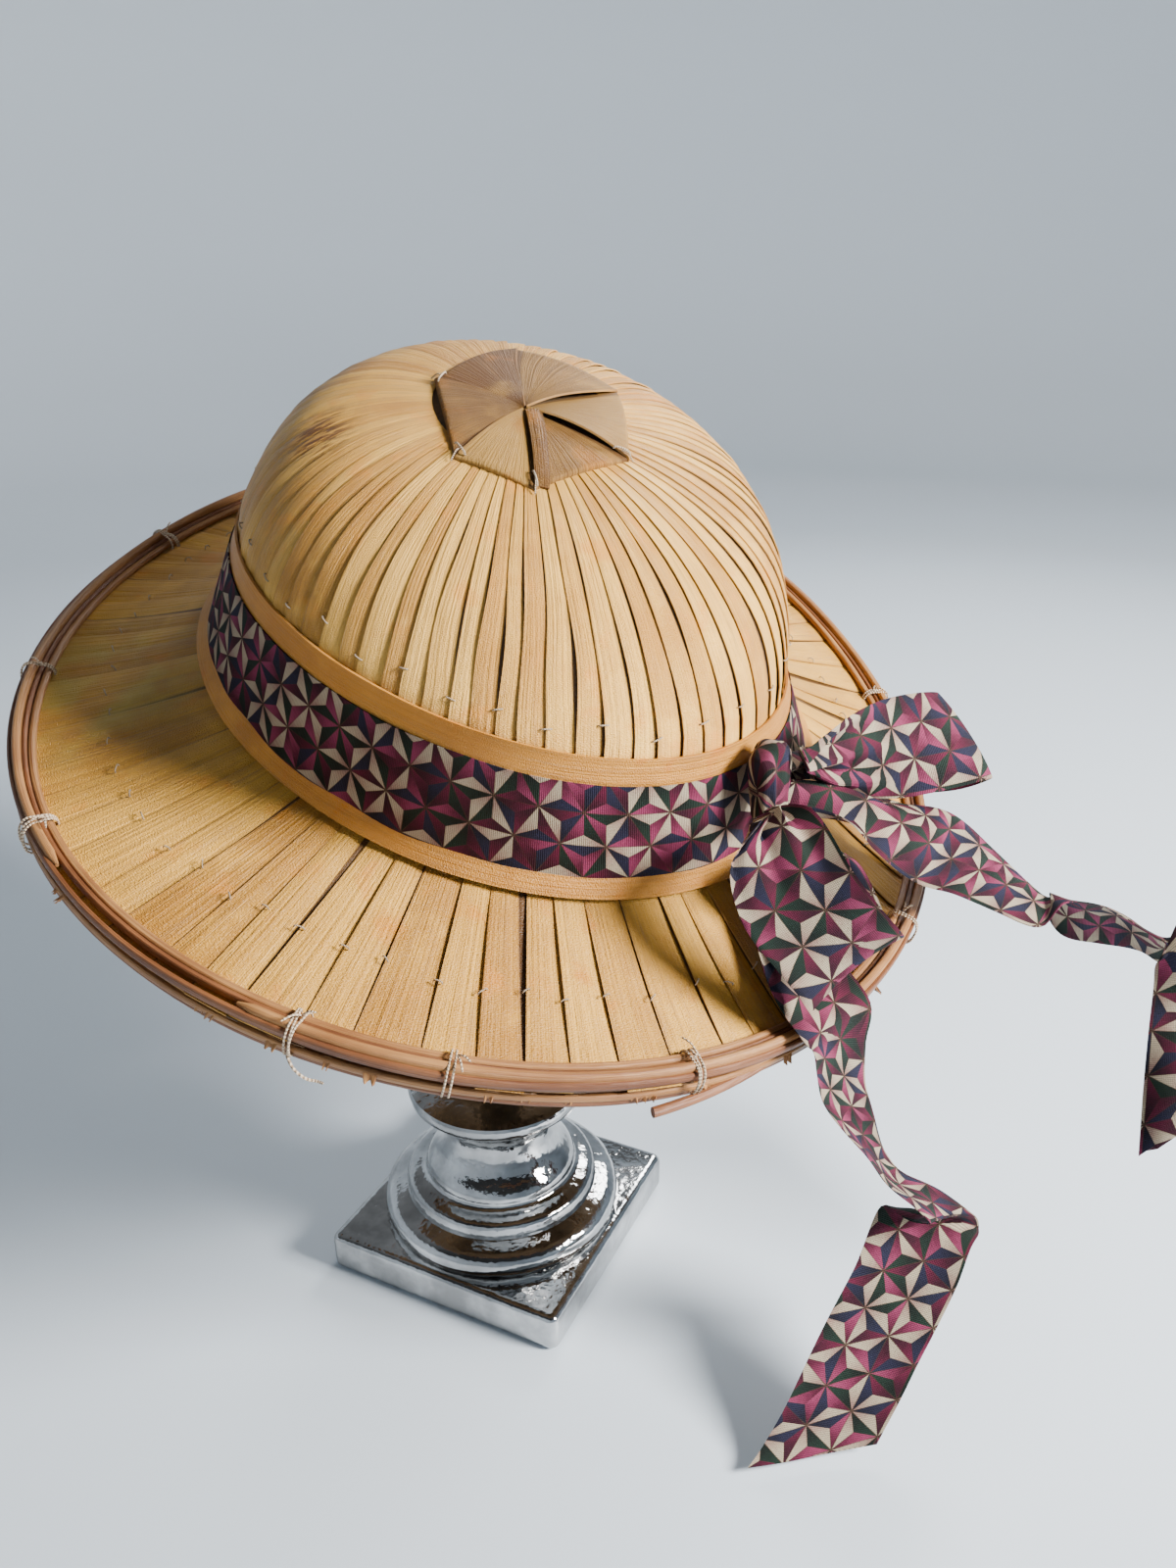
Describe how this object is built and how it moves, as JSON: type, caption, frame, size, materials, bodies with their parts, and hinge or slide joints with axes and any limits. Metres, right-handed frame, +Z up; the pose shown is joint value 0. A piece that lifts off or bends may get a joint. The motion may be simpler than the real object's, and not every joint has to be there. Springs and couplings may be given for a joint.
{
  "type": "palm-leaf sun hat on a turned display stand",
  "caption": "Wide-brimmed domed sun hat of pleated palm leaf with a patterned ribbon bow, tipped on a plain turned silver stand with a square plinth.",
  "frame": {"origin": "centre of the plinth's underside, on the surface the stand rests on", "axes": "+Z up, +X to the right and -Y towards the viewer as the picture shows it"},
  "size_m": [0.4491, 0.3443, 0.3553],
  "materials": {
    "stand": "bright silvered surface, slightly uneven",
    "leaf": "dried palm leaf, satin",
    "folded_leaf": "folded palm leaf, satin",
    "band_leaf": "smooth strip of palm leaf, satin",
    "cane": "split cane, satin",
    "string": "twisted plant-fibre string",
    "ribbon": "ribbed woven ribbon with a printed pattern"
  },
  "bodies": {
    "root": {"stand": "stand", "crown": "leaf", "brim": "leaf", "cap_fold_1": "folded_leaf", "cap_fold_2": "folded_leaf", "cap_fold_3": "folded_leaf", "cap_fold_4": "folded_leaf", "cap_fold_5": "folded_leaf", "cap_fold_6": "folded_leaf", "leaf_band": "band_leaf", "hoop_inner": "cane", "hoop_upper": "cane", "hoop_under": "cane", "lashing_1": "string", "lashing_2": "string", "lashing_3": "string", "lashing_4": "string", "lashing_5": "string", "lashing_6": "string", "lashing_7": "string", "lashing_8": "string", "lashing_9": "string", "ribbon_band": "ribbon", "bow_knot": "ribbon", "bow_loop_front": "ribbon", "bow_loop_upper": "ribbon", "tail_front": "ribbon", "tail_side": "ribbon"}
  },
  "joints": []
}
